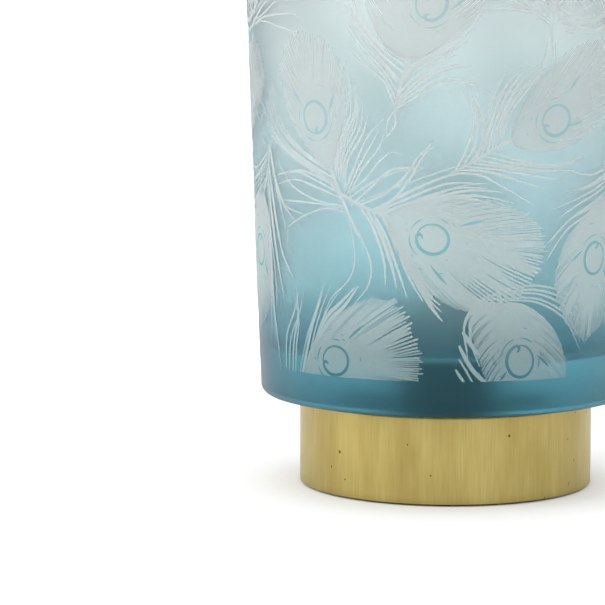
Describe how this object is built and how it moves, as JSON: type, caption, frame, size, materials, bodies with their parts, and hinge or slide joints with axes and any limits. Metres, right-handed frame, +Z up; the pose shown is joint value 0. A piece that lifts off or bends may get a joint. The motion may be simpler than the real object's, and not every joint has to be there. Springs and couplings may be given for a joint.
{
  "type": "cordless glass table lamp",
  "caption": "Cordless table lamp: a tapered frosted-glass shade, open at the top, clamped on a brass drum that holds the cells, timer and switch.",
  "frame": {"origin": "centre of the circle of feet, on the table", "axes": "+Z up along the glass's axis, -Y towards the front, where the switch is"},
  "size_m": [0.1302, 0.1302, 0.25],
  "materials": {
    "frosted_glass": "acid-frosted soda-lime glass, sprayed teal at the foot and fading to clear, with a white printed pattern",
    "brushed_brass": "brass-plated steel, brushed round the drum and lacquered satin",
    "black_plastic": "moulded black plastic, fine matt texture",
    "gasket_rubber": "soft black washer",
    "foot_rubber": "soft pad, matt",
    "contact_brass": "bright stamped brass",
    "cap_nickel": "nickel plate",
    "solder": "solder",
    "cap_insulator": "black glass",
    "clear_glass": "thin clear blown glass",
    "phosphor": "yellow silicone over LED chips",
    "bare_wire": "drawn nickel wire",
    "zinc_steel": "zinc-plated steel",
    "spring_steel": "nickel-plated spring wire",
    "cell_wrap": "printed steel can with a plain grey band, bright ends",
    "board_green": "glass-fibre board under green lacquer",
    "chip_black": "moulded case with tinned leads",
    "can_aluminium": "drawn can",
    "ceramic_chip": "fired chip with tinned ends",
    "switch_steel": "folded tinned box",
    "red_wire": "red wire insulation",
    "black_wire": "black wire insulation"
  },
  "bodies": {
    "lamp": {"glass_shade": "frosted_glass", "base_drum": "brushed_brass", "lower_gasket": "gasket_rubber", "upper_gasket": "gasket_rubber", "clamp_ring": "black_plastic", "socket_body": "black_plastic", "socket_shell": "contact_brass", "centre_contact": "contact_brass", "socket_terminals": "contact_brass", "weight_ring": "zinc_steel", "standoffs": "zinc_steel", "base_plate": "black_plastic", "base_screws": "zinc_steel", "feet": "foot_rubber", "battery_1": "cell_wrap", "battery_2": "cell_wrap", "battery_3": "cell_wrap", "contact_plates": "spring_steel", "contact_springs": "spring_steel", "circuit_board": "board_green", "board_screws": "zinc_steel", "timer_chip": "chip_black", "capacitor": "can_aluminium", "quartz_crystal": "can_aluminium", "resistors": "ceramic_chip", "switch_housing": "switch_steel", "socket_wire_red": "red_wire", "socket_wire_black": "black_wire", "battery_wire_red": "red_wire", "battery_wire_black": "black_wire"},
    "bulb": {"bulb_cap": "cap_nickel", "bulb_insulator": "cap_insulator", "bulb_tip": "solder", "bulb_globe": "clear_glass", "bulb_stem": "clear_glass", "bulb_filaments": "phosphor", "bulb_leads": "bare_wire"},
    "battery_door": {"battery_door": "black_plastic"},
    "switch_slider": {"switch_slider": "black_plastic"}
  },
  "joints": [
    {"name": "switch_slide", "type": "slide", "parent": "lamp", "child": "switch_slider", "axis": [1, 0, 0], "range_m": [-0.002, 0.002]},
    {"name": "door_swing", "type": "hinge", "parent": "lamp", "child": "battery_door", "pos_m": [0, 0.0244, 0.0022], "axis": [1, 0, 0], "range_deg": [0, 95]},
    {"name": "bulb_turn", "type": "hinge", "parent": "lamp", "child": "bulb", "pos_m": [0, 0, 0.0424], "axis": [0, 0, 1], "range_deg": [0, 1080]}
  ]
}
